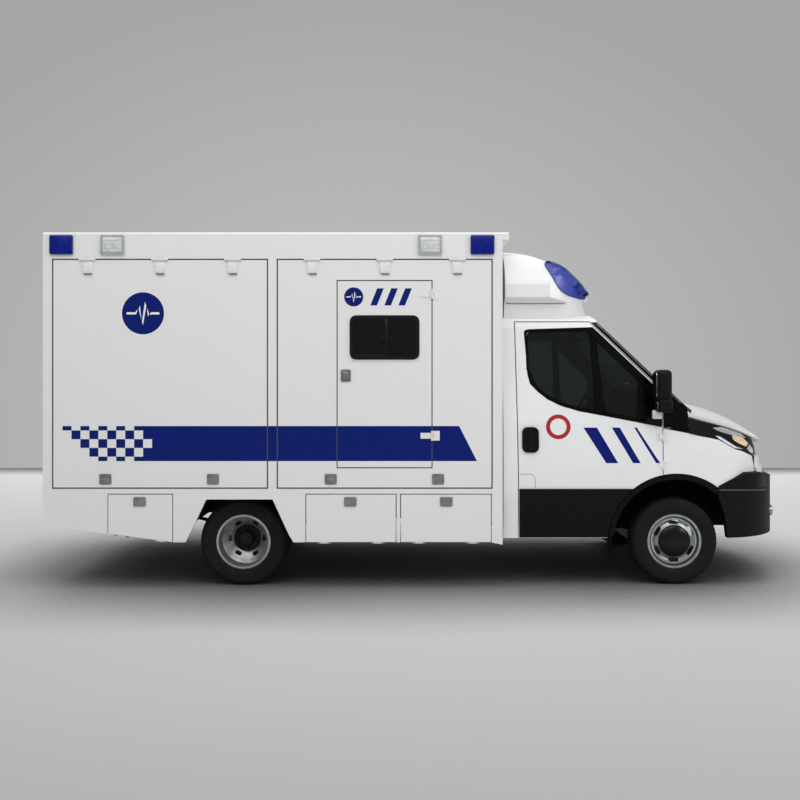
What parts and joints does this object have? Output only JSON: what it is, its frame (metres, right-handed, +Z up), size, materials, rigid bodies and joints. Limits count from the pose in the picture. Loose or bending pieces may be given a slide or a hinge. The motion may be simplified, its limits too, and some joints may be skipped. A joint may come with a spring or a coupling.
{
  "type": "box ambulance van",
  "caption": "Cab-chassis ambulance with a high box body: top-hinged side flaps, a side door, skirt lockers, rear doors, steered front wheels and twin rear wheels.",
  "frame": {"origin": "on the ground under the middle of the vehicle's overall length and width", "axes": "+X forward along the longest extent, +Y to the vehicle's left, +Z up"},
  "size_m": [5.998, 2.43, 2.798],
  "materials": {
    "body_white": "gloss white paint",
    "cab_white": "gloss white paint",
    "chassis_black": "satin black",
    "casting": "rough",
    "axle_black": "satin black",
    "black_plastic": "grained",
    "liner_plastic": "grained",
    "dash_plastic": "soft grained",
    "glass": "tinted",
    "dark_glass": "dark tinted",
    "lamp_clear": "clear lens",
    "lamp_blue": "blue lens",
    "lamp_red": "red lens",
    "head_lamp": "clear lens",
    "rim_silver": "silver paint",
    "tyre": "matte",
    "seat_fabric": "woven",
    "tank_plastic": "moulded",
    "exhaust_steel": "dull",
    "floor_panel": "ribbed",
    "bin_steel": "satin grey"
  },
  "bodies": {
    "body": {"chassis_frame": "chassis_black", "engine_and_gearbox": "casting", "rear_axle": "axle_black", "front_suspension": "axle_black", "fuel_tank": "tank_plastic", "exhaust": "exhaust_steel", "box_floor": "floor_panel", "box_roof": "body_white", "box_front_wall": "body_white", "box_side_right": "body_white", "box_side_left": "body_white", "box_rear_frame": "body_white", "cab_shell": "cab_white", "cowl": "black_plastic", "windscreen": "glass", "front_wings": "cab_white", "front_bumper": "black_plastic", "nose_panel": "cab_white", "headlamps": "head_lamp", "arch_liners": "liner_plastic", "roof_fairing": "cab_white", "dashboard": "dash_plastic", "seat_frames": "dash_plastic", "seat_cushions": "seat_fabric", "blue_lamps": "lamp_blue", "flood_lamps": "lamp_clear", "rear_lamps": "lamp_red", "locker_bins": "bin_steel"},
    "bonnet": {"bonnet": "cab_white"},
    "flap_front_right": {"flap_front_right": "body_white"},
    "flap_rear_right": {"flap_rear_right": "body_white"},
    "flap_front_left": {"flap_front_left": "body_white"},
    "flap_rear_left": {"flap_rear_left": "body_white"},
    "side_door": {"side_door": "body_white", "side_door_window": "dark_glass"},
    "locker_rear": {"locker_rear": "body_white"},
    "locker_middle": {"locker_middle": "body_white"},
    "locker_front": {"locker_front": "body_white"},
    "rear_door_right": {"rear_door_right": "body_white", "rear_door_glass_right": "dark_glass"},
    "cab_door_right": {"cab_door_right": "cab_white", "cab_door_glass_right": "glass", "cab_door_trim_right": "black_plastic", "mirror_right": "black_plastic"},
    "steer_right": {"knuckle_right": "casting"},
    "front_wheel_right": {"front_rim_right": "rim_silver", "front_tyre_right": "tyre"},
    "rear_wheels_right": {"rear_rims_right": "rim_silver", "rear_tyres_right": "tyre"},
    "rear_door_left": {"rear_door_left": "body_white", "rear_door_glass_left": "dark_glass"},
    "cab_door_left": {"cab_door_left": "cab_white", "cab_door_glass_left": "glass", "cab_door_trim_left": "black_plastic", "mirror_left": "black_plastic"},
    "steer_left": {"knuckle_left": "casting"},
    "front_wheel_left": {"front_rim_left": "rim_silver", "front_tyre_left": "tyre"},
    "rear_wheels_left": {"rear_rims_left": "rim_silver", "rear_tyres_left": "tyre"}
  },
  "joints": [
    {"name": "steer_right", "type": "hinge", "parent": "body", "child": "steer_right", "pos_m": [2.003, -0.78, 0.345], "axis": [0, 0, 1], "range_deg": [-35, 35]},
    {"name": "front_wheel_right", "type": "hinge", "parent": "steer_right", "child": "front_wheel_right", "pos_m": [2.003, -0.862, 0.345], "axis": [0, 1, 0], "continuous": true},
    {"name": "rear_wheels_right", "type": "hinge", "parent": "body", "child": "rear_wheels_right", "pos_m": [-1.447, -0.77, 0.345], "axis": [0, 1, 0], "continuous": true},
    {"name": "cab_door_right", "type": "hinge", "parent": "body", "child": "cab_door_right", "pos_m": [1.897, -1.012, 1.075], "axis": [0, 0, 1], "range_deg": [0, 68]},
    {"name": "rear_door_right", "type": "hinge", "parent": "body", "child": "rear_door_right", "pos_m": [-2.986, -0.952, 1.69], "axis": [0, 0, 1], "range_deg": [0, 165]},
    {"name": "flap_front_right", "type": "hinge", "parent": "body", "child": "flap_front_right", "pos_m": [-0.317, -1.111, 2.5815], "axis": [-1, 0, 0], "range_deg": [0, 90]},
    {"name": "flap_rear_right", "type": "hinge", "parent": "body", "child": "flap_rear_right", "pos_m": [-2.079, -1.111, 2.5815], "axis": [-1, 0, 0], "range_deg": [0, 90]},
    {"name": "steer_left", "type": "hinge", "parent": "body", "child": "steer_left", "pos_m": [2.003, 0.78, 0.345], "axis": [0, 0, 1], "range_deg": [-35, 35]},
    {"name": "front_wheel_left", "type": "hinge", "parent": "steer_left", "child": "front_wheel_left", "pos_m": [2.003, 0.862, 0.345], "axis": [0, 1, 0], "continuous": true},
    {"name": "rear_wheels_left", "type": "hinge", "parent": "body", "child": "rear_wheels_left", "pos_m": [-1.447, 0.77, 0.345], "axis": [0, 1, 0], "continuous": true},
    {"name": "cab_door_left", "type": "hinge", "parent": "body", "child": "cab_door_left", "pos_m": [1.897, 1.012, 1.075], "axis": [0, 0, -1], "range_deg": [0, 68]},
    {"name": "rear_door_left", "type": "hinge", "parent": "body", "child": "rear_door_left", "pos_m": [-2.986, 0.952, 1.69], "axis": [0, 0, -1], "range_deg": [0, 165]},
    {"name": "flap_front_left", "type": "hinge", "parent": "body", "child": "flap_front_left", "pos_m": [-0.317, 1.111, 2.5815], "axis": [1, 0, 0], "range_deg": [0, 90]},
    {"name": "flap_rear_left", "type": "hinge", "parent": "body", "child": "flap_rear_left", "pos_m": [-2.079, 1.111, 2.5815], "axis": [1, 0, 0], "range_deg": [0, 90]},
    {"name": "bonnet", "type": "hinge", "parent": "body", "child": "bonnet", "pos_m": [2.104, 0, 1.432], "axis": [0, -1, 0], "range_deg": [0, 50]},
    {"name": "side_door", "type": "hinge", "parent": "flap_front_right", "child": "side_door", "pos_m": [0.054, -1.111, 1.755], "axis": [0, 0, 1], "range_deg": [0, 110]},
    {"name": "locker_rear", "type": "hinge", "parent": "body", "child": "locker_rear", "pos_m": [-2.23556, -1.088, 0.39143], "axis": [0.9912, 0, -0.132], "range_deg": [0, 90]},
    {"name": "locker_middle", "type": "hinge", "parent": "body", "child": "locker_middle", "pos_m": [-0.5815, -1.088, 0.358], "axis": [1, 0, 0], "range_deg": [0, 90]},
    {"name": "locker_front", "type": "hinge", "parent": "body", "child": "locker_front", "pos_m": [0.1635, -1.088, 0.358], "axis": [1, 0, 0], "range_deg": [0, 90]}
  ],
  "couplings": [
    {"joint": "steer_right", "follows": "steer_left", "ratio": 1}
  ]
}
